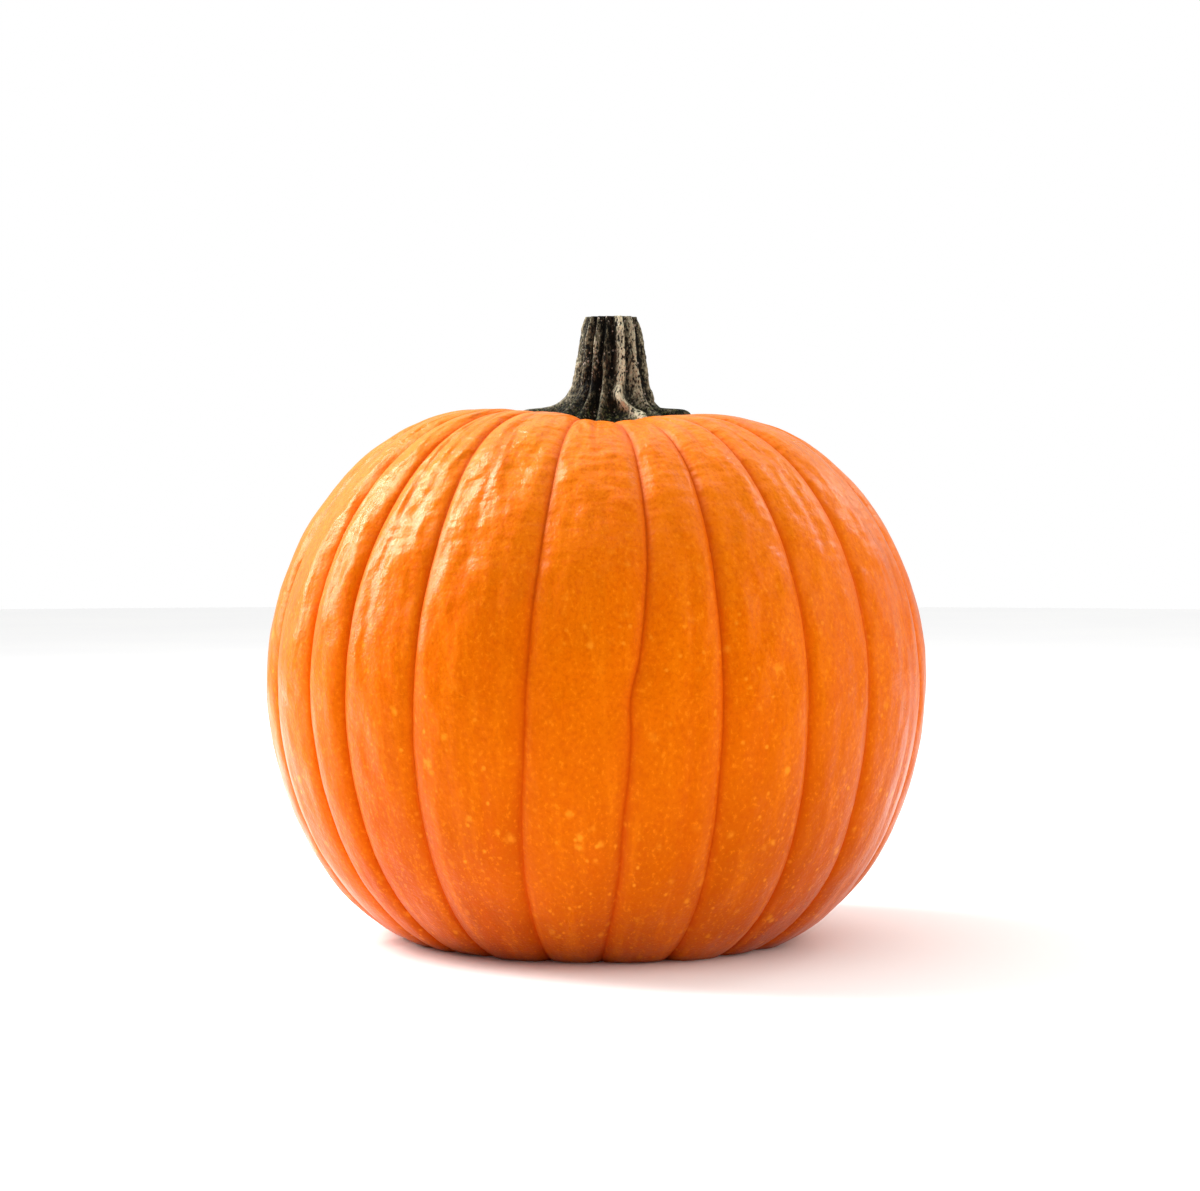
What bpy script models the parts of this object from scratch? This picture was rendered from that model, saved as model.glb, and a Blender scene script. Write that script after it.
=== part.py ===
"""A whole ripe pumpkin with its woody stem, standing on its blossom end.

Two pieces: the ribbed fruit and the ridged stem that is rooted in the dip at its top.
Lengths are in metres and angles in degrees. +Z is up, -Y is the front and +X is the right.
A longitude is counted from the front, positive towards +X. A polar angle is 0 at the stem end
and 180 at the blossom end. The origin is the middle of the footprint, on the ground.
"""

import math

import bmesh
import bpy
from mathutils import Vector

# Outline of the fruit: an ellipse above the widest ring and a deeper one below it, each pushed in
# at its end by a soft hollow, and all of it levelled off at the ground.
FRUIT_RADIUS = 0.150
WAIST_HEIGHT = 0.1180
UPPER_DEPTH = 0.1442
LOWER_DEPTH = 0.160
STEM_HOLLOW = (0.027, 0.065)  # how far in, and how wide
STEM_DISH = (0.005, 0.028)
BLOSSOM_HOLLOW = (0.039, 0.081)
BLOSSOM_DIMPLE = (0.006, 0.025)

# The shoulder is a little lower at the front, and it stands higher on the left than on the right.
FRONT_SAG = 0.0046
SAG_LONGITUDE, SAG_SPREAD = 8.0, 26.0
SIDE_TILT = 0.0016
SHOULDER_POLAR, SHOULDER_REACH = 24.0, 18.0

# Grooves: longitude at the widest ring, and how far the groove leans by the stem end.
GROOVES = (
    (-74.0, -2.0), (-58.0, -0.5), (-47.5, 1.0), (-32.0, 2.0), (-11.5, 3.0), (6.0, 4.0),
    (21.0, 0.0), (37.4, -2.2), (52.2, 0.0), (75.0, 0.8), (89.0, 1.5), (104.0, -1.0),
    (121.0, -2.2), (137.0, 0.6), (153.0, 2.4), (170.0, 1.0), (187.0, -1.6), (203.0, -2.4),
    (219.0, 0.4), (236.0, 1.8), (253.0, 1.0), (271.0, -1.4),
)
# Bends in some grooves: which groove, the cosine of the polar angle there, its spread, degrees.
BENDS = (
    (3, 0.85, 0.20, -2.0), (4, -0.55, 0.30, -0.9), (5, 0.42, 0.35, 1.3), (5, 0.0, 0.09, -0.8),
    (5, -0.85, 0.20, -1.2), (8, 0.60, 0.30, 0.8), (8, -0.65, 0.25, 2.4),
)
GROOVE_DEPTH = 0.0042
GROOVE_FADE = 0.7  # power of the sine of the polar angle
CROWN_POWER = 4.0  # the higher, the flatter the rib between its grooves
RIB_SWELL = 0.0006
OUT_OF_ROUND = 0.0011

# Stem: rings from the cut top down to below the skin, as (height, radius in a valley, radius on a ridge).
STEM_RINGS = (
    (0.2825, 0.0108, 0.0120),
    (0.2765, 0.0118, 0.0136),
    (0.2680, 0.0130, 0.0152),
    (0.2580, 0.0143, 0.0166),
    (0.2505, 0.0154, 0.0178),
    (0.2465, 0.0166, 0.0205),
    (0.2435, 0.0186, 0.0255),
    (0.2410, 0.0210, 0.0322),
    (0.2385, 0.0238, 0.0378),
    (0.2345, 0.0262, 0.0405),
    (0.2275, 0.0262, 0.0405),
)
STEM_OFFSET = 0.0073  # the stem stands to the right of the middle
STEM_RIDGES = (-86.0, -31.0, 26.0, 88.0, 150.0, 212.0)
RIDGE_REACH = (1.0, 0.60, 0.72, 0.80, 0.85, 0.78)  # how far out the root of each ridge runs
RIDGE_SHARPNESS = 1.6
STEM_COLUMNS = 48

# Mesh layout
RIB_COLUMNS = (0.0, 0.08, 0.26, 0.5, 0.74, 0.92)  # shares of the way from one groove to the next
FRUIT_ROWS = 28
SKIN_GAP = 0.0004
SMOOTH_BELOW = math.radians(40.0)


def bell(distance, spread):
    """1 at no distance, falling smoothly to 0 past the spread."""
    return math.exp(-((distance / spread) ** 2))


def turn_between(first, second):
    """The smaller angle from the first longitude to the second, in degrees."""
    return (second - first + 180.0) % 360.0 - 180.0


def clear_scene():
    for old in list(bpy.data.objects):
        bpy.data.objects.remove(old, do_unlink=True)


def make_collection(name):
    collection = bpy.data.collections.new(name)
    bpy.context.scene.collection.children.link(collection)
    return collection


def make_material(name, colour, roughness):
    material = bpy.data.materials.new(name)
    material.use_nodes = True
    shader = material.node_tree.nodes["Principled BSDF"]
    shader.inputs["Base Color"].default_value = (*colour, 1.0)
    shader.inputs["Roughness"].default_value = roughness
    shader.inputs["Metallic"].default_value = 0.0
    return material


def make_object(name, bm, collection, material):
    """An object from a bmesh, with smooth shading broken only at its sharp edges."""
    mesh = bpy.data.meshes.new(name)
    bm.to_mesh(mesh)
    bm.free()
    mesh.materials.append(material)
    mesh.shade_smooth()
    mesh.set_sharp_from_angle(angle=SMOOTH_BELOW)
    obj = bpy.data.objects.new(name, mesh)
    collection.objects.link(obj)
    return obj


def outline(polar):
    """Radius and height of a rib's crown at a polar angle in radians, before the ground levels it."""
    radius = FRUIT_RADIUS * math.sin(polar)
    rise = math.cos(polar)
    if rise > 0.0:
        height = WAIST_HEIGHT + UPPER_DEPTH * rise
        for depth, width in (STEM_HOLLOW, STEM_DISH):
            height -= depth * bell(radius, width)
    else:
        height = WAIST_HEIGHT + LOWER_DEPTH * rise
        for depth, width in (BLOSSOM_HOLLOW, BLOSSOM_DIMPLE):
            height += depth * bell(radius, width)
    return radius, height


def groove_longitude(groove, rise):
    """Longitude of a groove where the cosine of the polar angle is rise."""
    groove %= len(GROOVES)
    middle, lean = GROOVES[groove]
    bent = sum(turn * bell(rise - place, spread) for bend, place, spread, turn in BENDS if bend == groove)
    return middle + lean * rise + bent


def skin_point(groove, share, polar):
    """Point on the skin at a share of the way from a groove to the next one on its right."""
    rise = math.cos(polar)
    here = groove_longitude(groove, rise)
    width = turn_between(here, groove_longitude(groove + 1, rise))
    longitude = here + share * width
    turn = math.radians(longitude)

    radius, height = outline(polar)
    flank = abs(2.0 * share - 1.0) ** CROWN_POWER
    fade = math.sin(polar) ** GROOVE_FADE
    swell = RIB_SWELL * math.sin(2.4 * groove + 0.5) * (1.0 - flank)
    proud = fade * (swell - GROOVE_DEPTH * flank)
    proud += OUT_OF_ROUND * math.sin(polar) * math.sin(2.0 * turn)
    radius += proud * math.sin(polar)
    height += proud * rise
    lowered = FRONT_SAG * bell(turn_between(SAG_LONGITUDE, longitude), SAG_SPREAD)
    lowered += SIDE_TILT * math.sin(turn)
    height -= lowered * bell(math.degrees(polar) - SHOULDER_POLAR, SHOULDER_REACH)
    return Vector((radius * math.sin(turn), -radius * math.cos(turn), max(height, 0.0)))


def make_fruit(collection):
    """A sphere whose columns are laid along the grooves and over the ribs."""
    columns = len(GROOVES) * len(RIB_COLUMNS)
    bm = bmesh.new()
    bmesh.ops.create_uvsphere(bm, u_segments=columns, v_segments=FRUIT_ROWS, radius=1.0)
    for vert in bm.verts:
        polar = math.acos(max(-1.0, min(1.0, vert.co.z)))
        column = round(math.atan2(vert.co.y, vert.co.x) / math.tau * columns) % columns
        groove, place = divmod(column, len(RIB_COLUMNS))
        vert.co = skin_point(groove, RIB_COLUMNS[place], polar)
    skin = make_material("pumpkin_skin", (0.83, 0.17, 0.005), 0.38)
    return make_object("fruit", bm, collection, skin)


def ridge_height(longitude, ring):
    """How much of a ridge there is at a longitude: 1 on its back, 0 in the valleys beside it."""
    depth = ring / (len(STEM_RINGS) - 1)
    best = 0.0
    for place, reach in zip(STEM_RIDGES, RIDGE_REACH):
        away = abs(turn_between(place, longitude)) / 30.0
        if away < 1.0:
            shape = (0.5 + 0.5 * math.cos(math.pi * away)) ** (RIDGE_SHARPNESS * (0.6 + depth))
            best = max(best, shape * (1.0 + (reach - 1.0) * depth))
    return best


def make_stem(collection, fruit_cutter):
    """A loft from the small ridged cut top to the wide rooted foot, trimmed to lie on the skin."""
    bm = bmesh.new()
    rings = []
    for number, (height, valley, ridge) in enumerate(STEM_RINGS):
        ring = []
        for column in range(STEM_COLUMNS):
            longitude = 360.0 * column / STEM_COLUMNS
            radius = valley + (ridge - valley) * ridge_height(longitude, number)
            turn = math.radians(longitude)
            place = (STEM_OFFSET + radius * math.sin(turn), -radius * math.cos(turn), height)
            ring.append(bm.verts.new(place))
        rings.append(ring)
    for upper, lower in zip(rings, rings[1:]):
        for column in range(STEM_COLUMNS):
            after = (column + 1) % STEM_COLUMNS
            bm.faces.new((upper[column], lower[column], lower[after], upper[after]))
    bm.faces.new(rings[0])
    bm.faces.new(rings[-1])
    bmesh.ops.recalc_face_normals(bm, faces=bm.faces)
    bark = make_material("pumpkin_stem", (0.15, 0.13, 0.07), 0.75)
    stem = make_object("stem", bm, collection, bark)
    trim = stem.modifiers.new("seat_on_fruit", "BOOLEAN")
    trim.operation = "DIFFERENCE"
    trim.solver = "EXACT"
    trim.object = fruit_cutter
    return stem


def make_fruit_cutter(fruit, collection):
    """The fruit grown by the gap, which shapes the underside of the stem's foot."""
    mesh = fruit.data.copy()
    mesh.name = "stem_seat_cutter"
    grown = [vert.co + SKIN_GAP * vert.normal for vert in mesh.vertices]
    for vert, place in zip(mesh.vertices, grown):
        vert.co = place
    cutter = bpy.data.objects.new("stem_seat_cutter", mesh)
    cutter.hide_render = True
    cutter.display_type = "WIRE"
    collection.objects.link(cutter)
    return cutter


def centre_on_footprint(objects, fruit):
    """Moves the meshes so that the middle of the fruit's footprint is the origin."""
    xs = [vert.co.x for vert in fruit.data.vertices]
    ys = [vert.co.y for vert in fruit.data.vertices]
    middle = Vector((min(xs) + max(xs), min(ys) + max(ys), 0.0)) / 2.0
    for obj in objects:
        for vert in obj.data.vertices:
            vert.co -= middle
        obj.data.update()


def main():
    clear_scene()
    parts = make_collection("pumpkin")
    cutters = make_collection("cutters")
    fruit = make_fruit(parts)
    cutter = make_fruit_cutter(fruit, cutters)
    stem = make_stem(parts, cutter)
    centre_on_footprint((fruit, stem, cutter), fruit)


main()
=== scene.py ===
"""Looks of the pumpkin: a fine-skinned ribbed fruit and a weathered woody stem, on a pale studio floor.

Lengths are in metres and angles in degrees, in the CAD's frame: +Z up, -Y the front, +X the right.
A longitude is counted from the front, positive towards +X. A polar angle is 0 at the stem end
and 180 at the blossom end.
"""

import math

import bpy
import numpy as np
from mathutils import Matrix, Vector, noise
from mathutils.bvhtree import BVHTree


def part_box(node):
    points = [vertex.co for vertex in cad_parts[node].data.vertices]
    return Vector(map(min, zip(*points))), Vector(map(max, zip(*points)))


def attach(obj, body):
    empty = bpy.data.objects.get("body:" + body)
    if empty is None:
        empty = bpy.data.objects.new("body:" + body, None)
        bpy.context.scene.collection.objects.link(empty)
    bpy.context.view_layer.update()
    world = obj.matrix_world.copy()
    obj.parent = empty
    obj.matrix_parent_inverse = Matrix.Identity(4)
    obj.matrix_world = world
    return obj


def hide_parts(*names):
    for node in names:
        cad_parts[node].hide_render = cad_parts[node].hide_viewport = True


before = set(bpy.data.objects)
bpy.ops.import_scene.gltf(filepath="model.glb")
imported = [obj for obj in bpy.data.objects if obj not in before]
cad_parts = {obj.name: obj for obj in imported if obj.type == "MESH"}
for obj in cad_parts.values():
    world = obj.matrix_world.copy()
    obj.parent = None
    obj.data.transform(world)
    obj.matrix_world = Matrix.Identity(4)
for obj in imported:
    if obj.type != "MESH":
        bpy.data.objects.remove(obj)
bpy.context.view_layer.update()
FRUIT_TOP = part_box("fruit")[1].z

# Outline of the fruit, as the CAD has it: two half ellipses, each hollowed at its end.
FRUIT_RADIUS = 0.150
WAIST_HEIGHT = 0.1180
UPPER_DEPTH = 0.1442
LOWER_DEPTH = 0.160
STEM_HOLLOWS = ((0.027, 0.065), (0.005, 0.028))  # how far in, and how wide
BLOSSOM_HOLLOWS = ((0.039, 0.081), (0.006, 0.025))
FRONT_SAG = 0.0046
SAG_LONGITUDE, SAG_SPREAD = 8.0, 26.0
SIDE_TILT = 0.0016
SHOULDER_POLAR, SHOULDER_REACH = 24.0, 18.0
OUT_OF_ROUND = 0.0011

# Grooves: longitude at the widest ring, and how far the groove leans by the stem end.
GROOVES = (
    (-74.0, -2.0), (-58.0, -0.5), (-47.5, 1.0), (-32.0, 2.0), (-11.5, 3.0), (6.0, 4.0),
    (21.0, 0.0), (37.4, -2.2), (52.2, 0.0), (75.0, 0.8), (89.0, 1.5), (104.0, -1.0),
    (121.0, -2.2), (137.0, 0.6), (153.0, 2.4), (170.0, 1.0), (187.0, -1.6), (203.0, -2.4),
    (219.0, 0.4), (236.0, 1.8), (253.0, 1.0), (271.0, -1.4),
)
# Bends in some grooves: which groove, the cosine of the polar angle there, its spread, degrees.
BENDS = (
    (3, 0.85, 0.20, -2.0), (4, -0.55, 0.30, -0.9), (5, 0.42, 0.35, 1.3), (5, 0.0, 0.09, -0.8),
    (5, -0.85, 0.20, -1.2), (8, 0.60, 0.30, 0.8), (8, -0.65, 0.25, 2.4),
)
GROOVE_FADE = 0.7
RIB_SWELL = 0.0006

# Fine shape of the skin: a rib is a broad arch that drops off quickly beside its grooves.
ARCH_DEPTH, ARCH_POWER = 0.0022, 3.2
BANK_DEPTH, BANK_WIDTH = 0.0012, 0.0036
CREASE_DEPTH, CREASE_WIDTH = 0.0007, 0.0008
CREASE_SHADE_WIDTH = 0.0028
GROOVE_WANDER = 0.35  # degrees
RIB_SEGMENTS = 26
SKIN_ROWS = 168
POLE_GAP = 0.8  # degrees left open at each pole, which a fan of triangles closes
# Uneven skin: depth, size, seed and stretch. The waves fade out at the grooves, and the grain doesn't.
SKIN_WAVES = ((0.00075, 0.020, 1, (1.0, 1.0, 2.6)), (0.00030, 0.0085, 2, (1.0, 1.0, 1.8)))
SKIN_GRAIN = (0.00012, 0.0045, 5, (1.0, 1.0, 1.3))

# Soft second creases down the ribs: groove on the left, share of the rib, polar angle where it
# starts and ends, depth.
SOFT_CREASES = (
    (2, 0.30, 22, 78, 0.0014), (2, 0.62, 24, 60, 0.0010), (3, 0.36, 18, 74, 0.0013),
    (3, 0.70, 60, 130, 0.0006), (4, 0.45, 12, 50, 0.0012), (5, 0.62, 70, 130, 0.0009),
    (6, 0.40, 18, 52, 0.0010), (7, 0.55, 20, 70, 0.0007), (8, 0.62, 50, 130, 0.0009),
    (9, 0.45, 30, 100, 0.0006), (10, 0.5, 20, 80, 0.0006), (12, 0.42, 22, 90, 0.0008),
    (13, 0.60, 18, 60, 0.0006), (14, 0.38, 30, 110, 0.0006), (15, 0.55, 18, 66, 0.0008),
    (16, 0.34, 40, 120, 0.0005), (17, 0.62, 20, 72, 0.0007), (18, 0.45, 26, 96, 0.0005),
    (19, 0.40, 20, 60, 0.0008), (20, 0.58, 34, 118, 0.0006), (21, 0.46, 22, 84, 0.0006),
)
SOFT_CREASE_WIDTH = 0.0017
SOFT_WANDER = 0.025
DEEPEST_SOFT = 0.0015

# Camera, as the photograph was taken: nearly level with the fruit.
VIEW_DISTANCE = 1.40
VIEW_ELEVATION = 3.0
FRUIT_MIDDLE = 0.1299
AIM = (0.0017, 0.1555)  # x and z of the middle of the picture, on the fruit's axis
FOCAL_LENGTH = 91.9

# Brightness of the studio round the object, and of its backdrop in the picture
FRONT_LIGHT, BACKDROP_LIGHT, CEILING_LIGHT = 0.42, 0.64, 0.80
SEEN_WHITE = 1.0
FLOOR_RADIUS = 4.0


# Small helpers ------------------------------------------------------------------------------

def bell(distance, spread):
    """1 at no distance, falling smoothly to 0 past the spread."""
    return np.exp(-((np.asarray(distance) / spread) ** 2))


def turn_between(first, second):
    """The smaller angle from the first longitude to the second, in degrees."""
    return (second - first + 180.0) % 360.0 - 180.0


def smooth_step(low, high, value):
    share = np.clip((np.asarray(value, float) - low) / (high - low), 0.0, 1.0)
    return share * share * (3.0 - 2.0 * share)


def noise_at(points, size, seed, stretch=(1.0, 1.0, 1.0)):
    """Smooth noise between about -1 and 1 at each point, with bumps of about the given size."""
    flat = np.asarray(points, float).reshape(-1, 3) / (np.array(stretch) * size)
    shift = Vector((17.3 * seed, -9.1 * seed, 5.7 * seed))
    values = [noise.noise(Vector(point) + shift) for point in flat]
    return np.array(values).reshape(np.shape(points)[:-1])


def grid_object(name, points):
    """A mesh tube from rings of points, rows by columns, closed round and capped at both ends."""
    rows, columns = points.shape[:2]
    index = np.arange(rows * columns).reshape(rows, columns)
    right = np.roll(index, -1, axis=1)
    quads = np.stack([index[:-1], index[1:], right[1:], right[:-1]], axis=-1).reshape(-1, 4)
    faces = quads.tolist()
    first, last = rows * columns, rows * columns + 1
    vertices = np.vstack([points.reshape(-1, 3), points[0].mean(0), points[-1].mean(0)])
    faces += [(first, int(a), int(b)) for a, b in zip(index[0], right[0])]
    faces += [(last, int(b), int(a)) for a, b in zip(index[-1], right[-1])]
    mesh = bpy.data.meshes.new(name)
    mesh.from_pydata(vertices.tolist(), [], faces)
    mesh.validate()
    mesh.shade_smooth()
    obj = bpy.data.objects.new(name, mesh)
    bpy.context.scene.collection.objects.link(obj)
    return obj


def store_place(obj, points):
    """Keeps a second set of coordinates on the mesh, for textures that follow its growth."""
    flat = np.asarray(points, np.float32).reshape(-1, 3)
    with_poles = np.vstack([flat, flat[:1], flat[-1:]])
    layer = obj.data.attributes.new("grown", "FLOAT_VECTOR", "POINT")
    layer.data.foreach_set("vector", with_poles.ravel())


def store(obj, name, values):
    """Keeps one number for each vertex on the mesh, for its material to read."""
    flat = np.asarray(values, np.float32).reshape(-1)
    poles = np.array([flat[:8].mean(), flat[-8:].mean()], np.float32)
    layer = obj.data.attributes.new(name, "FLOAT", "POINT")
    layer.data.foreach_set("value", np.concatenate([flat, poles]))


# The fruit ----------------------------------------------------------------------------------

def outline(polar):
    """Radius and height of the ribs' crowns at polar angles in radians."""
    radius = FRUIT_RADIUS * np.sin(polar)
    rise = np.cos(polar)
    upper = WAIST_HEIGHT + UPPER_DEPTH * rise
    for depth, width in STEM_HOLLOWS:
        upper = upper - depth * bell(radius, width)
    lower = WAIST_HEIGHT + LOWER_DEPTH * rise
    for depth, width in BLOSSOM_HOLLOWS:
        lower = lower + depth * bell(radius, width)
    return radius, np.where(rise > 0.0, upper, lower)


def groove_longitudes(rise):
    """Longitude of every groove at every height: rows by grooves, with a slight wander."""
    lines = np.zeros((len(rise), len(GROOVES)))
    for number, (middle, lean) in enumerate(GROOVES):
        path = np.stack([2.6 * rise, np.full_like(rise, 3.7 * number), np.zeros_like(rise)], -1)
        wander = noise_at(path, 1.0, 3) + 0.45 * noise_at(path * 3.1, 1.0, 4)
        bent = 0.0
        for groove, place, spread, turn in BENDS:
            if groove == number:
                bent = bent + turn * bell(rise - place, spread)
        lines[:, number] = middle + lean * rise + bent + GROOVE_WANDER * wander
    return lines


def rib_shares():
    """Where the columns of a rib stand between its grooves, closer together beside the grooves."""
    step = np.arange(RIB_SEGMENTS) / RIB_SEGMENTS
    return 0.5 * step + 0.25 * (1.0 - np.cos(np.pi * step))


def soft_creases(rib, share, rib_width, row_polar):
    """Depth of the soft second creases, and how plainly each shows as painted shade, up to 1."""
    dent, soft = np.zeros_like(share), np.zeros_like(share)
    for groove, place, start, end, depth in SOFT_CREASES:
        place = place + SOFT_WANDER * np.sin(5.0 * row_polar + groove)
        away = (share - place) * rib_width
        along = bell(np.degrees(row_polar) - 0.5 * (start + end), 0.5 * (end - start))
        line = np.where(rib == groove, along * np.exp(-np.abs(away) / SOFT_CREASE_WIDTH), 0.0)
        dent = dent + depth * line
        soft = np.maximum(soft, line * depth / DEEPEST_SOFT)
    return dent, soft


def uneven_skin(plain, calm, fade):
    """Lumps and long soft waves of the skin, which fade out at the grooves, and a finer grain."""
    proud = 0.0
    for depth, size, seed, stretch in SKIN_WAVES:
        proud = proud + depth * calm * noise_at(plain, size, seed, stretch)
    depth, size, seed, stretch = SKIN_GRAIN
    return proud + depth * fade * noise_at(plain, size, seed, stretch)


def on_turn(radius, turn, height):
    """Points round the upright axis, turn radians from the front."""
    return np.stack([radius * np.sin(turn), -radius * np.cos(turn),
                     np.broadcast_to(height, turn.shape)], -1)


def make_fruit():
    """The ribbed skin: columns that run down every rib, closer together beside its grooves."""
    polar = np.radians(np.linspace(POLE_GAP, 180.0 - POLE_GAP, SKIN_ROWS))[:, None]
    rise, sine = np.cos(polar), np.sin(polar)
    lines = groove_longitudes(rise[:, 0])
    shares = rib_shares()
    width = turn_between(lines, np.roll(lines, -1, axis=1))[:, :, None]
    longitude = (lines[:, :, None] + width * shares).reshape(SKIN_ROWS, -1)
    share = np.broadcast_to(shares, (SKIN_ROWS, len(GROOVES), RIB_SEGMENTS)).reshape(SKIN_ROWS, -1)
    rib = np.repeat(np.arange(len(GROOVES)), RIB_SEGMENTS)[None, :]
    turn = np.radians(longitude)

    radius, height = outline(polar)
    rib_width = np.repeat(np.radians(width[:, :, 0]), RIB_SEGMENTS, axis=1) * radius
    edge_distance = np.minimum(share, 1.0 - share) * rib_width
    arch = np.abs(2.0 * share - 1.0) ** ARCH_POWER
    fade = sine ** GROOVE_FADE
    proud = RIB_SWELL * np.sin(2.4 * rib + 0.5) * (1.0 - arch) - ARCH_DEPTH * arch
    proud = proud - BANK_DEPTH * np.exp(-edge_distance / BANK_WIDTH)
    proud = fade * (proud - CREASE_DEPTH * np.exp(-edge_distance / CREASE_WIDTH))
    proud = proud + OUT_OF_ROUND * sine * np.sin(2.0 * turn)
    dent, soft = soft_creases(rib, share, rib_width, polar)
    plain = on_turn(radius, turn, height)
    proud = proud - dent + uneven_skin(plain, (1.0 - arch) * fade, fade)

    radius = radius + proud * sine
    height = height + proud * rise
    lowered = FRONT_SAG * bell(turn_between(SAG_LONGITUDE, longitude), SAG_SPREAD)
    lowered = lowered + SIDE_TILT * np.sin(turn)
    height = height - lowered * bell(np.degrees(polar) - SHOULDER_POLAR, SHOULDER_REACH)
    points = on_turn(radius, turn, np.maximum(height, 0.0))

    # The CAD fruit is centred on its footprint, and so is this one.
    middle = 0.5 * (points.reshape(-1, 3).min(0) + points.reshape(-1, 3).max(0))
    points[..., :2] -= middle[:2]

    # The columns are turned round, so that the faces look outwards.
    fruit = grid_object("fruit_skin", points[:, ::-1])
    unrolled = on_turn(FRUIT_RADIUS, turn, FRUIT_RADIUS * (0.5 * np.pi - polar))
    store_place(fruit, unrolled[:, ::-1])
    # The crease, flank and soft marks tell the material where to paint shade in the grooves and soft
    # creases; the flanks are also made rougher.
    store(fruit, "crease", np.exp(-edge_distance / CREASE_WIDTH)[:, ::-1])
    store(fruit, "flank", np.exp(-edge_distance / CREASE_SHADE_WIDTH)[:, ::-1])
    store(fruit, "soft", soft[:, ::-1])
    store(fruit, "rise", np.broadcast_to(rise, share.shape))
    store(fruit, "tint", np.broadcast_to(np.sin(5.1 * rib + 1.0), share.shape)[:, ::-1])
    return fruit


# The stem -----------------------------------------------------------------------------------

STEM_CENTRE = 0.0073
# Rings from the cut top to under the skin: height, radius in a valley, radius on a root ridge.
STEM_RINGS = (
    (0.2825, 0.0108, 0.0120),
    (0.2765, 0.0118, 0.0136),
    (0.2680, 0.0130, 0.0152),
    (0.2580, 0.0143, 0.0166),
    (0.2505, 0.0154, 0.0178),
    (0.2465, 0.0164, 0.0202),
    (0.2435, 0.0182, 0.0252),
    (0.2410, 0.0206, 0.0320),
    (0.2385, 0.0236, 0.0378),
    (0.2345, 0.0262, 0.0405),
)
# Ridges of the stem: longitude, how much it stands out, half width, how far its root runs, and how
# late the root leaves the column (1 is early).
STEM_RIDGES = (
    (-88.0, 1.00, 15.0, 1.22, 1.0), (-57.0, 0.75, 11.0, 0.50, 1.0), (-34.0, 0.80, 7.0, 0.35, 1.0),
    (-14.0, 0.60, 6.0, 0.30, 1.0), (17.0, 1.05, 10.0, 0.66, 1.4), (44.0, 0.85, 10.0, 0.45, 1.0),
    (84.0, 0.80, 14.0, 0.82, 3.6), (112.0, 0.60, 8.0, 0.40, 1.0), (136.0, 0.95, 11.0, 0.80, 1.0),
    (160.0, 0.55, 7.0, 0.35, 1.0), (182.0, 0.95, 11.0, 0.75, 1.2), (206.0, 0.60, 7.0, 0.40, 1.0),
    (228.0, 0.90, 11.0, 0.80, 1.0), (250.0, 0.60, 7.0, 0.40, 1.0),
)
# The ridge that gets a painted highlight in the bark's colour.
HIGHLIGHT_RIDGE = 4  # the one that catches the light at the front
STEM_COLUMNS = 320
STEM_ROWS = 150
RING_SMOOTHING = 40  # rounds
ROOT_START, ROOT_END = 0.50, 0.85  # share of the way down where the column turns into roots
BARK_RADIUS = 0.016  # of the plain cylinder that the bark's unevenness is laid out on
BARK_SUNK = 0.0003  # takes out what the furrows and knots add on the whole
FOOT_SUNK = 0.0012  # how far the roots dip into the skin
# The cut top: share of the way out to the rim, and height above it.
TOP_RINGS = ((0.30, -0.0006), (0.62, -0.0011), (0.85, -0.0007), (0.96, 0.0))


def smoothed(values, rounds):
    """The values down the rows, with the corners between the rings rounded off."""
    values = np.array(values, float)
    for _ in range(rounds):
        values[1:-1] = 0.25 * (values[:-2] + 2.0 * values[1:-1] + values[2:])
    return values


def stem_ridges(depth, root, longitude):
    """The stem's ridges: their relief, how far they push the bark out, and where the painted highlight on
    the front one lies.
    """
    relief, stand, reach = np.zeros((3, *longitude.shape))
    for number, (middle, proud, half_width, run, late) in enumerate(STEM_RIDGES):
        if number == HIGHLIGHT_RIDGE:
            middle = middle - 9.0 * bell(depth - 0.55, 0.16) + 8.0 * root
        away = turn_between(middle, longitude)
        spread = half_width * (1.0 - 0.25 * root)
        ridge = proud * bell(away, spread)
        relief = np.maximum(relief, ridge)
        stand = np.maximum(stand, ridge * (1.0 - root) ** late)
        reach = np.maximum(reach, run * bell(away, spread * 0.95) * root ** (late - 1.0))
        # Where the painted highlight lies: along this ridge, spreading to its right.
        if number == HIGHLIGHT_RIDGE:
            bright = np.clip(bell(away, 8.0) + 0.55 * bell(away - 26.0, 22.0), 0.0, 1.0)
    return relief, stand + root * reach, bright


def lay_on_skin(points, root, fruit):
    """Lays the roots along the skin, just under it, the more so the lower a row is."""
    skin = BVHTree.FromPolygons([v.co for v in fruit.data.vertices],
                                [tuple(p.vertices) for p in fruit.data.polygons])
    foot_height = STEM_RINGS[-1][0]
    for row in np.flatnonzero(root[:, 0] > 0.0):
        for column in range(STEM_COLUMNS):
            x, y, z = points[row, column]
            hit = skin.ray_cast(Vector((x, y, 1.0)), Vector((0.0, 0.0, -1.0)))[0]
            laid = hit.z - FOOT_SUNK + max(z - foot_height, 0.0)
            points[row, column, 2] = z * (1.0 - root[row, 0]) + root[row, 0] * laid


def cut_top(rim):
    """Rings that round the rim over into a slightly sunken, fibrous face."""
    centre = rim.mean(0)
    rings = []
    for outward, drop in TOP_RINGS:
        ring = centre + (rim - centre) * outward
        ring[:, 2] = rim[:, 2] + drop + 0.0002 * noise_at(ring, 0.0011, 14)
        rings.append(ring)
    return np.array(rings)


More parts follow.
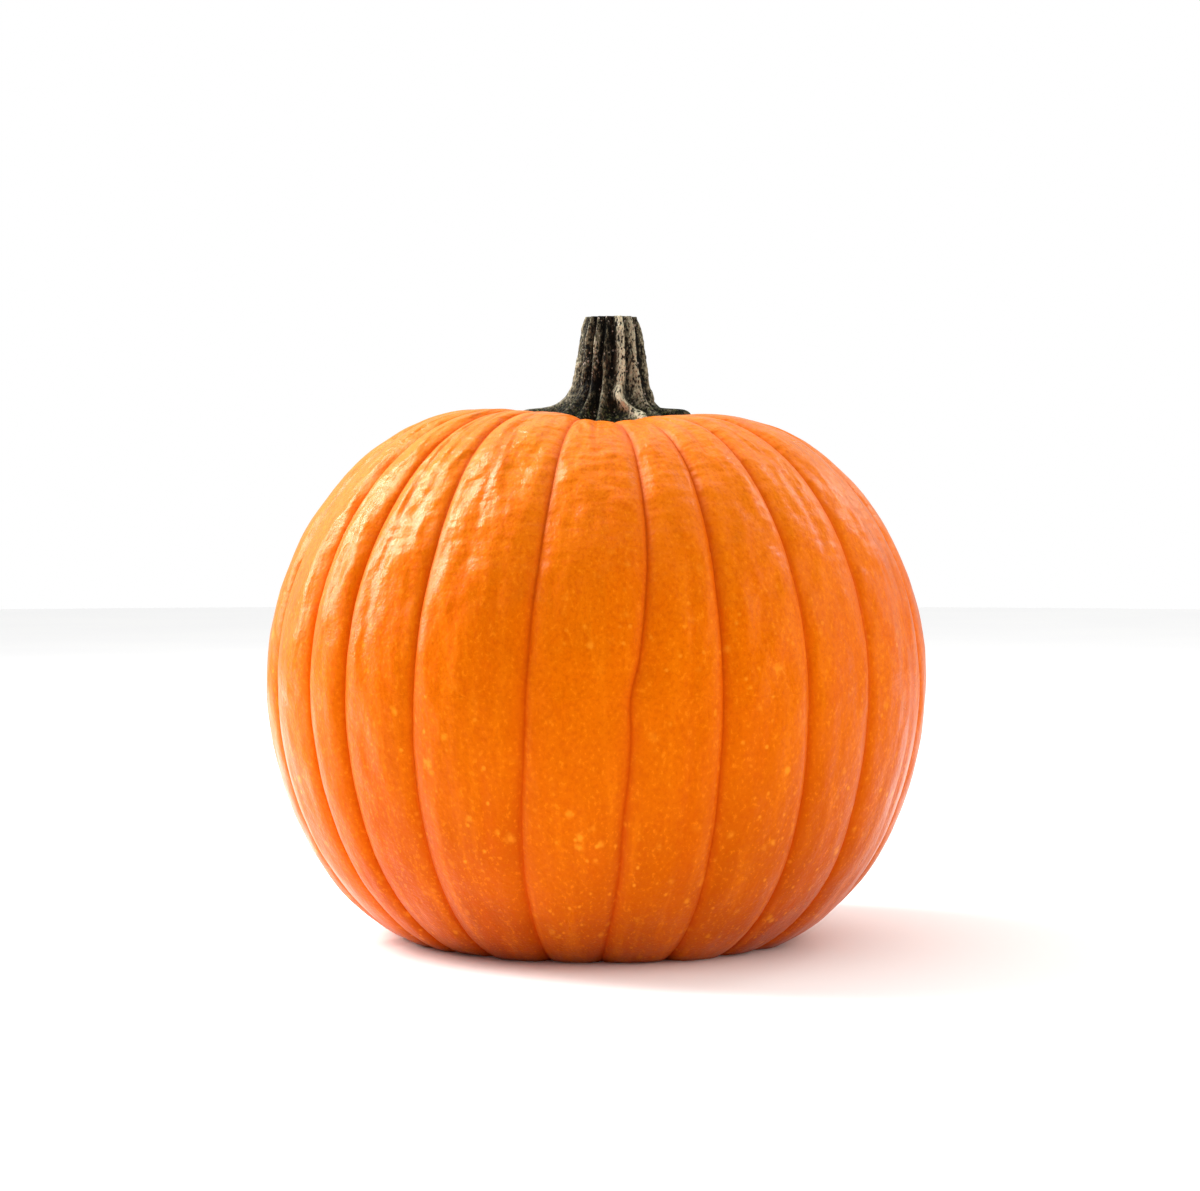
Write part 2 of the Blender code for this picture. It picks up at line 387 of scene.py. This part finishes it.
def make_stem(fruit):
    """The ridged column with its roots and its cut top, as rings from the top down."""
    rings = np.array(STEM_RINGS)
    place = np.linspace(0.0, len(rings) - 1.0, STEM_ROWS)
    height, valley, ridge = (
        smoothed(np.interp(place, np.arange(len(rings)), column), RING_SMOOTHING)[:, None]
        for column in rings.T
    )
    depth = (place / place[-1])[:, None]
    root = smooth_step(ROOT_START, ROOT_END, depth)
    longitude = np.linspace(-180.0, 180.0, STEM_COLUMNS, endpoint=False)[None, :]
    longitude = longitude + 3.0 * np.sin(2.2 * depth + 0.4)
    turn = np.radians(longitude)

    relief, share, bright = stem_ridges(depth, root, longitude)
    around = on_turn(BARK_RADIUS, turn, height)
    furrows = 1.0 - 2.4 * np.abs(noise_at(around, 0.0040, 11, (1.0, 1.0, 9.0)))
    grain = noise_at(around, 0.0019, 15, (1.0, 1.0, 5.0))
    knots = noise_at(around, 0.0032, 12, (1.0, 1.0, 1.7))
    warts = noise_at(around, 0.0014, 13, (1.0, 1.0, 1.3))
    share = share + 0.10 * root * noise_at(around, 0.0050, 16)
    radius = valley + (ridge - valley) * share + 0.0026 * (relief - 0.85) * (1.0 - root)
    radius = radius + 0.00075 * furrows + 0.00045 * grain + 0.00055 * knots + 0.00030 * warts
    # The relief that the bark's colour reads: the furrows in it get painted shade.
    relief = 0.75 * relief + 0.30 * furrows + 0.15 * grain + 0.15 * knots
    points = on_turn(radius - BARK_SUNK, turn, height)
    points[..., 0] += STEM_CENTRE
    lay_on_skin(points, root, fruit)

    top = cut_top(points[0])
    on_top = np.ones(top.shape[:2])
    down = np.ones_like(relief)
    stem = grid_object("stem_bark", np.concatenate([top, points]))
    # Marks for the bark's colour: relief, with painted shade in its furrows; where the ridge's painted
    # highlight goes; the foot, with moss and painted shade; and the cut face.
    store(stem, "relief", np.concatenate([0.5 * on_top, relief]))
    store(stem, "bright", np.concatenate([0.0 * on_top, bright]))
    store(stem, "foot", np.concatenate([0.0 * on_top, root * down]))
    store(stem, "cut", np.concatenate([on_top, 0.0 * down]))
    return stem


# Materials ----------------------------------------------------------------------------------

class Nodes:
    """Short calls that add shader nodes to a tree and join them up."""

    def __init__(self, owner, grown=False):
        owner.use_nodes = True
        self.tree = owner.node_tree
        self.shader = self.tree.nodes.get("Principled BSDF")
        self.grown = grown

    def join(self, source, target):
        if isinstance(source, bpy.types.NodeSocket):
            self.tree.links.new(source, target)
        else:
            target.default_value = source

    def attribute(self, name):
        node = self.tree.nodes.new("ShaderNodeAttribute")
        node.attribute_name = name
        return node.outputs["Fac"]

    def place(self, stretch=(1.0, 1.0, 1.0)):
        """Coordinates in metres. A stretch above 1 draws the pattern out along that axis."""
        if self.grown:
            coordinates = self.tree.nodes.new("ShaderNodeAttribute")
            coordinates.attribute_name = "grown"
            source = coordinates.outputs["Vector"]
        else:
            source = self.tree.nodes.new("ShaderNodeTexCoord").outputs["Object"]
        mapping = self.tree.nodes.new("ShaderNodeMapping")
        mapping.inputs["Scale"].default_value = tuple(1.0 / s for s in stretch)
        self.join(source, mapping.inputs["Vector"])
        return mapping.outputs["Vector"]

    def noise(self, size, detail=2.0, stretch=(1.0, 1.0, 1.0), roughness=0.5):
        """Noise from 0 to 1 whose patches are about size metres across."""
        node = self.tree.nodes.new("ShaderNodeTexNoise")
        node.inputs["Scale"].default_value = 1.0 / size
        node.inputs["Detail"].default_value = detail
        node.inputs["Roughness"].default_value = roughness
        self.join(self.place(stretch), node.inputs["Vector"])
        return node.outputs["Fac"]

    def cells(self, size):
        """Distance to scattered points about size metres apart, as a share of that size."""
        node = self.tree.nodes.new("ShaderNodeTexVoronoi")
        node.inputs["Scale"].default_value = 1.0 / size
        self.join(self.place(), node.inputs["Vector"])
        return node.outputs["Distance"]

    def math(self, operation, first, second=0.0):
        node = self.tree.nodes.new("ShaderNodeMath")
        node.operation = operation
        self.join(first, node.inputs[0])
        self.join(second, node.inputs[1])
        return node.outputs[0]

    def remap(self, value, low, high, new_low=0.0, new_high=1.0):
        node = self.tree.nodes.new("ShaderNodeMapRange")
        node.interpolation_type = "SMOOTHSTEP"
        self.join(value, node.inputs["Value"])
        ends = {"From Min": low, "From Max": high, "To Min": new_low, "To Max": new_high}
        for name, number in ends.items():
            node.inputs[name].default_value = number
        return node.outputs[0]

    def scaled(self, value, factor):
        return self.math("MULTIPLY", value, factor)

    def mix(self, share, first, second):
        """Colour from first to second by the share."""
        node = self.tree.nodes.new("ShaderNodeMix")
        node.data_type = "RGBA"
        sockets = (node.inputs[0], node.inputs[6], node.inputs[7])
        for source, socket in zip((share, first, second), sockets):
            if isinstance(source, tuple):
                source = (*source, 1.0)
            self.join(source, socket)
        return node.outputs[2]

    def bump(self, height, distance, strength=1.0, normal=None):
        node = self.tree.nodes.new("ShaderNodeBump")
        node.inputs["Strength"].default_value = strength
        node.inputs["Distance"].default_value = distance
        self.join(height, node.inputs["Height"])
        if normal is not None:
            self.join(normal, node.inputs["Normal"])
        return node.outputs["Normal"]


# Colours of the skin
# The crease, soft crease and flank reds are painted shade in the grooves and soft creases.
CREASE_SHADE_RED, SOFT_CREASE_SHADE_RED, FLANK_SHADE_RED = (0.56, 0.044, 0.0), (0.56, 0.060, 0.0), (0.60, 0.066, 0.0)
# The low red and the shoulder orange are partly the skin's own tone, partly painted shade below and painted
# sheen above.
LOW_RED_AND_SHADE, WAIST_ORANGE, SHOULDER_ORANGE_AND_SHEEN = (0.36, 0.039, 0.0), (0.66, 0.116, 0.0), (0.80, 0.200, 0.006)
RUST, FLECK_DARK, FLECK_PALE = (0.64, 0.094, 0.0), (0.54, 0.066, 0.0), (0.86, 0.225, 0.006)
CLOUD_ORANGE, RIB_ORANGE, STREAK_ORANGE = (0.70, 0.130, 0.0), (0.74, 0.148, 0.0), (0.80, 0.186, 0.002)
DOT_YELLOW = (1.0, 0.360, 0.020)
SCAR_BROWN = (0.130, 0.080, 0.040)
SKIN_SHEEN = (1.0, 0.45, 0.05, 1.0)
# Pale dots of the skin: how far apart they lie, and their radius as a share of that.
SKIN_DOTS = ((0.0125, 0.120), (0.0230, 0.090), (0.0070, 0.120))


def skin_colour(n, rise, flank):
    """Orange that pales upwards, partly its own tone and partly painted shade below and painted sheen
    above, with clouds, streaks, flecks, dots, creases reddened with painted shade and a brown scar below.
    """
    # Deeper red low down and paler at the shoulders: partly the skin's own tone, partly painted shade below
    # and painted sheen above.
    base = n.mix(n.remap(rise, -1.0, 0.15), LOW_RED_AND_SHADE, WAIST_ORANGE)
    base = n.mix(n.remap(rise, 0.15, 0.95), base, SHOULDER_ORANGE_AND_SHEEN)
    base = n.mix(n.remap(n.noise(0.050, 3.0), 0.35, 0.65, 0.0, 0.40), base, CLOUD_ORANGE)
    base = n.mix(n.remap(n.attribute("tint"), -1.0, 1.0, 0.0, 0.30), base, RIB_ORANGE)
    streaks = n.noise(0.007, 3.0, (1.0, 1.0, 7.0))
    base = n.mix(n.remap(streaks, 0.50, 0.72, 0.0, 0.35), base, STREAK_ORANGE)
    rusty = n.noise(0.016, 3.0, (1.0, 1.0, 2.5))
    base = n.mix(n.remap(rusty, 0.52, 0.70, 0.0, 0.30), base, RUST)

    mottle = n.noise(0.0019, 3.0, (1.0, 1.0, 1.2), 0.65)
    base = n.mix(n.remap(mottle, 0.35, 0.50, 0.40, 0.0), base, FLECK_DARK)
    base = n.mix(n.remap(mottle, 0.54, 0.70, 0.0, 0.50), base, FLECK_PALE)
    lower = n.remap(rise, -0.1, 0.6, 1.0, 0.10)
    scattered = n.math("MULTIPLY", n.remap(n.noise(0.060, 2.0), 0.42, 0.60), lower)
    ragged = n.scaled(n.math("SUBTRACT", n.noise(0.0022, 2.0), 0.5), 0.16)
    for size, spot in SKIN_DOTS:
        away = n.math("ADD", n.cells(size), ragged)
        dots = n.math("MULTIPLY", n.remap(away, 0.3 * spot, 1.7 * spot, 1.0, 0.0), scattered)
        base = n.mix(n.scaled(dots, 0.50), base, DOT_YELLOW)

    # Painted shade: darker red in the soft creases, on the groove flanks and in the creases themselves.
    base = n.mix(n.scaled(n.attribute("soft"), 0.35), base, SOFT_CREASE_SHADE_RED)
    base = n.mix(n.scaled(flank, 0.30), base, FLANK_SHADE_RED)
    base = n.mix(n.scaled(n.attribute("crease"), 0.60), base, CREASE_SHADE_RED)
    scar = n.remap(rise, -0.9990, -0.9978, 1.0, 0.0)
    return n.mix(n.scaled(scar, 0.9), base, SCAR_BROWN)


def skin_material():
    """Waxy, lumpy, finely pored skin."""
    material = bpy.data.materials.new("pumpkin_skin")
    n = Nodes(material, grown=True)
    rise, flank = n.attribute("rise"), n.attribute("flank")
    n.join(skin_colour(n, rise, flank), n.shader.inputs["Base Color"])

    gloss = n.remap(n.noise(0.012, 3.0, (1.0, 1.0, 2.0)), 0.3, 0.7, 0.27, 0.38)
    n.join(n.math("ADD", gloss, n.scaled(flank, 0.25)), n.shader.inputs["Roughness"])
    n.shader.inputs["Specular IOR Level"].default_value = 0.20
    n.shader.inputs["Specular Tint"].default_value = SKIN_SHEEN

    lumpy = n.remap(rise, -0.6, 0.4, 0.35, 1.0)
    lumps = n.math("MULTIPLY", n.noise(0.0150, 1.5, (1.0, 1.0, 1.7)), lumpy)
    normal = n.bump(lumps, 0.0050, 0.85)
    ripples = n.math("MULTIPLY", n.noise(0.0085, 1.0, (1.8, 1.8, 0.8)), n.remap(rise, 0.0, 0.7))
    normal = n.bump(ripples, 0.0022, 0.7, normal)
    pores = n.noise(0.0016, 2.0)
    n.join(n.bump(pores, 0.00035, 0.6, normal), n.shader.inputs["Normal"])
    return material


# Colours of the stem
# The furrow black is painted shade; the worn tan is the ridges' own wear.
FURROW_SHADE_BLACK, BARK_BROWN, WORN_TAN = (0.002, 0.002, 0.001), (0.135, 0.120, 0.072), (0.520, 0.465, 0.315)
# The pale tan is a painted highlight.
RIDGE_HIGHLIGHT_TAN, BLOTCH_BROWN = (0.760, 0.690, 0.480), (0.150, 0.085, 0.050)
# The pit black is painted shade.
SPECK_TAN, PIT_SHADE_BLACK = (0.560, 0.470, 0.380), (0.006, 0.006, 0.004)
# The dark moss colour is painted shade at the foot; the green is moss.
MOSSY_FOOT_SHADE, MOSS_GREEN = (0.008, 0.012, 0.004), (0.150, 0.165, 0.060)
CUT_TAN = (0.230, 0.185, 0.110)


def bark_colour(n, grain, crumbs, pits):
    """Furrows painted nearly black as shade and weathered ridges, one of them given a painted highlight,
    with specks, pits painted dark as shade and a mossy foot darkened with painted shade.
    """
    bright, foot = n.attribute("bright"), n.attribute("foot")
    # Low relief in the furrows is painted nearly black as shade, and high relief is worn pale.
    wear_and_furrow_shade = n.math("ADD", n.attribute("relief"), n.scaled(n.math("SUBTRACT", grain, 0.5), 1.8))
    wear_and_furrow_shade = n.math("ADD", wear_and_furrow_shade, n.scaled(n.math("SUBTRACT", crumbs, 0.5), 1.6))
    base = n.mix(n.remap(wear_and_furrow_shade, 0.25, 0.70), FURROW_SHADE_BLACK, BARK_BROWN)
    base = n.mix(n.remap(wear_and_furrow_shade, 0.60, 1.15), base, WORN_TAN)
    blotch = n.noise(0.0050, 4.0, (1.0, 1.0, 2.0), 0.6)
    base = n.mix(n.remap(blotch, 0.50, 0.70, 0.0, 0.35), base, BLOTCH_BROWN)
    # Painted highlight on the front ridge that catches the light.
    base = n.mix(n.math("MULTIPLY", bright, n.remap(wear_and_furrow_shade, 0.30, 0.85, 0.10, 1.0)), base, RIDGE_HIGHLIGHT_TAN)
    specks = n.remap(n.cells(0.0019), 0.18, 0.34, 0.9, 0.0)
    in_patches = n.remap(n.noise(0.005, 2.0), 0.48, 0.56)
    base = n.mix(n.math("MULTIPLY", specks, in_patches), base, SPECK_TAN)
    # Painted shade: the pits are darkened nearly black.
    base = n.mix(pits, base, PIT_SHADE_BLACK)
    # Painted shade at the foot where the stem meets the skin, in moss-like tufts, kept off the highlighted
    # ridge.
    shaded = n.math("MULTIPLY", foot, n.remap(bright, 0.35, 0.80, 1.0, 0.0))
    tufts = n.remap(n.noise(0.0026, 3.0), 0.40, 0.62, 0.95, 0.20)
    base = n.mix(n.math("MULTIPLY", shaded, tufts), base, MOSSY_FOOT_SHADE)
    green = n.remap(n.noise(0.0013, 2.0), 0.55, 0.66)
    base = n.mix(n.math("MULTIPLY", foot, green), base, MOSS_GREEN)
    return n.mix(n.scaled(n.attribute("cut"), 0.85), base, CUT_TAN)


def bark_material():
    """Dry, crumbly, deeply grained stem."""
    material = bpy.data.materials.new("pumpkin_stem")
    n = Nodes(material)
    grain = n.noise(0.0013, 4.0, (1.0, 1.0, 7.0), 0.65)
    crumbs = n.noise(0.0011, 3.0, (1.0, 1.0, 1.5), 0.65)
    pits = n.remap(n.noise(0.0014, 2.0, (1.0, 1.0, 1.8)), 0.38, 0.47, 0.95, 0.0)
    n.join(bark_colour(n, grain, crumbs, pits), n.shader.inputs["Base Color"])
    n.join(n.remap(grain, 0.2, 0.8, 0.55, 0.9), n.shader.inputs["Roughness"])
    n.shader.inputs["Specular IOR Level"].default_value = 0.12
    normal = n.bump(grain, 0.0030)
    normal = n.bump(crumbs, 0.0022, normal=normal)
    n.join(n.bump(pits, 0.0006, -0.8, normal), n.shader.inputs["Normal"])
    return material


def floor_material():
    """Matt white studio paper, with the faint unevenness of real paper."""
    material = bpy.data.materials.new("studio_paper")
    n = Nodes(material)
    uneven = n.remap(n.noise(0.30, 2.0), 0.3, 0.7)
    n.join(n.mix(uneven, (0.94, 0.94, 0.94), (0.955, 0.955, 0.95)), n.shader.inputs["Base Color"])
    n.shader.inputs["Roughness"].default_value = 0.9
    n.shader.inputs["Specular IOR Level"].default_value = 0.1
    return material


# Studio -------------------------------------------------------------------------------------

def make_floor():
    bpy.ops.mesh.primitive_circle_add(vertices=96, radius=FLOOR_RADIUS, fill_type="NGON")
    floor = bpy.context.object
    floor.name = "floor"
    floor.data.materials.append(floor_material())


def make_softbox(name, position, target, size, power, colour=(1.0, 1.0, 1.0)):
    data = bpy.data.lights.new(name, "AREA")
    data.shape = "RECTANGLE"
    data.size, data.size_y = size
    data.energy = power
    data.color = colour
    light = bpy.data.objects.new(name, data)
    light.location = position
    light.rotation_euler = (Vector(target) - Vector(position)).to_track_quat("-Z", "Y").to_euler()
    bpy.context.scene.collection.objects.link(light)


def make_world():
    """A white studio: the backdrop behind the object and the ceiling are bright, the front is dimmer."""
    world = bpy.data.worlds.new("studio")
    n = Nodes(world)
    split = n.tree.nodes.new("ShaderNodeSeparateXYZ")
    n.join(n.tree.nodes.new("ShaderNodeTexCoord").outputs["Generated"], split.inputs[0])
    behind = n.remap(split.outputs["Y"], -0.5, 0.6, FRONT_LIGHT, BACKDROP_LIGHT)
    ceiling = n.remap(split.outputs["Z"], 0.3, 1.0, 0.0, CEILING_LIGHT)
    seen = n.tree.nodes.new("ShaderNodeMix")
    n.join(n.tree.nodes.new("ShaderNodeLightPath").outputs["Is Camera Ray"], seen.inputs[0])
    n.join(n.math("ADD", behind, ceiling), seen.inputs[2])
    n.join(SEEN_WHITE, seen.inputs[3])
    background = n.tree.nodes["Background"]
    n.join((1.0, 1.0, 1.0, 1.0), background.inputs["Color"])
    n.join(seen.outputs[0], background.inputs["Strength"])
    bpy.context.scene.world = world


def make_lights():
    make_world()
    middle = (0.0, 0.0, 0.5 * FRUIT_TOP)
    make_softbox("left_window", (-1.22, 0.42, 0.78), middle, (0.42, 0.80), 21.0)
    make_softbox("left_skylight", (-0.95, 0.38, 1.25), middle, (0.70, 0.70), 27.0)
    make_softbox("right_fill", (1.40, -0.45, 0.70), middle, (1.10, 1.10), 9.0, (1.0, 0.97, 0.90))
    make_softbox("right_rim", (0.95, 0.85, 0.95), middle, (0.25, 0.60), 3.0)


def make_camera():
    data = bpy.data.cameras.new("camera")
    data.lens = FOCAL_LENGTH
    data.sensor_width = 36.0
    camera = bpy.data.objects.new("camera", data)
    rise = VIEW_DISTANCE * math.tan(math.radians(VIEW_ELEVATION))
    camera.location = (0.0, -VIEW_DISTANCE, FRUIT_MIDDLE + rise)
    aim = Vector((AIM[0], 0.0, AIM[1])) - camera.location
    camera.rotation_euler = aim.to_track_quat("-Z", "Y").to_euler()
    bpy.context.scene.collection.objects.link(camera)
    bpy.context.scene.camera = camera


# Assembly -----------------------------------------------------------------------------------

make_camera()
make_lights()
make_floor()
bpy.context.scene.view_settings.view_transform = "Standard"

fruit = make_fruit()
fruit.data.materials.append(skin_material())
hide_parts("fruit")
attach(fruit, "root")

stem = make_stem(fruit)
stem.data.materials.append(bark_material())
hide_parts("stem")
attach(stem, "root")
